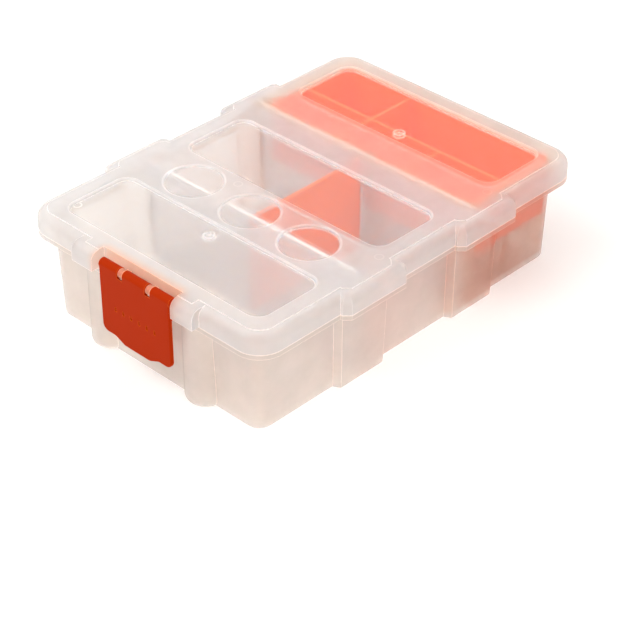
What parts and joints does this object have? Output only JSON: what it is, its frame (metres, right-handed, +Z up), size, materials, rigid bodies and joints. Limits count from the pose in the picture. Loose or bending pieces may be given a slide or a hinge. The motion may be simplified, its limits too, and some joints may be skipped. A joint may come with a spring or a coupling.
{
  "type": "parts organizer box",
  "caption": "Flat translucent organizer box for beads and small parts, with a hinged lid with sunken windows, a front latch, a lift-out upper tray and slide-in divider walls.",
  "frame": {"origin": "middle of the box's foot, on the surface that it stands on", "axes": "+Z up, +Y from the latch to the hinge along the length, +X across the width"},
  "size_m": [0.135, 0.186, 0.048],
  "materials": {
    "frosted_plastic": "milky translucent, moulded satin",
    "orange_plastic": "opaque orange, moulded satin"
  },
  "bodies": {
    "box": {"base_box": "frosted_plastic"},
    "lid": {"lid": "frosted_plastic"},
    "latch": {"front_latch": "orange_plastic"},
    "tray": {"upper_tray": "orange_plastic"},
    "front_wall": {"front_divider": "frosted_plastic"},
    "rear_wall": {"rear_divider": "frosted_plastic"},
    "middle_wall": {"centre_divider": "orange_plastic"}
  },
  "joints": [
    {"name": "lid_hinge", "type": "hinge", "parent": "box", "child": "lid", "pos_m": [0, 0.0903, 0.0386], "axis": [-1, 0, 0], "range_deg": [0, 110]},
    {"name": "latch_hinge", "type": "hinge", "parent": "lid", "child": "latch", "pos_m": [0, -0.08949, 0.0436], "axis": [-1, 0, 0], "range_deg": [0, 150]},
    {"name": "tray_lift", "type": "slide", "parent": "box", "child": "tray", "axis": [0, 0, 1], "range_m": [0, 0.0212]},
    {"name": "front_wall_lift", "type": "slide", "parent": "box", "child": "front_wall", "axis": [0, 0, 1], "range_m": [0, 0.045]},
    {"name": "rear_wall_lift", "type": "slide", "parent": "box", "child": "rear_wall", "axis": [0, 0, 1], "range_m": [0, 0.045]},
    {"name": "middle_wall_lift", "type": "slide", "parent": "box", "child": "middle_wall", "axis": [0, 0, 1], "range_m": [0, 0.045]}
  ],
  "couplings": [
    {"joint": "tray_lift", "follows": "lid_hinge", "m_per_rad": 0.011},
    {"joint": "front_wall_lift", "follows": "lid_hinge", "m_per_rad": 0.0234},
    {"joint": "rear_wall_lift", "follows": "lid_hinge", "m_per_rad": 0.0234},
    {"joint": "middle_wall_lift", "follows": "lid_hinge", "m_per_rad": 0.0234}
  ]
}
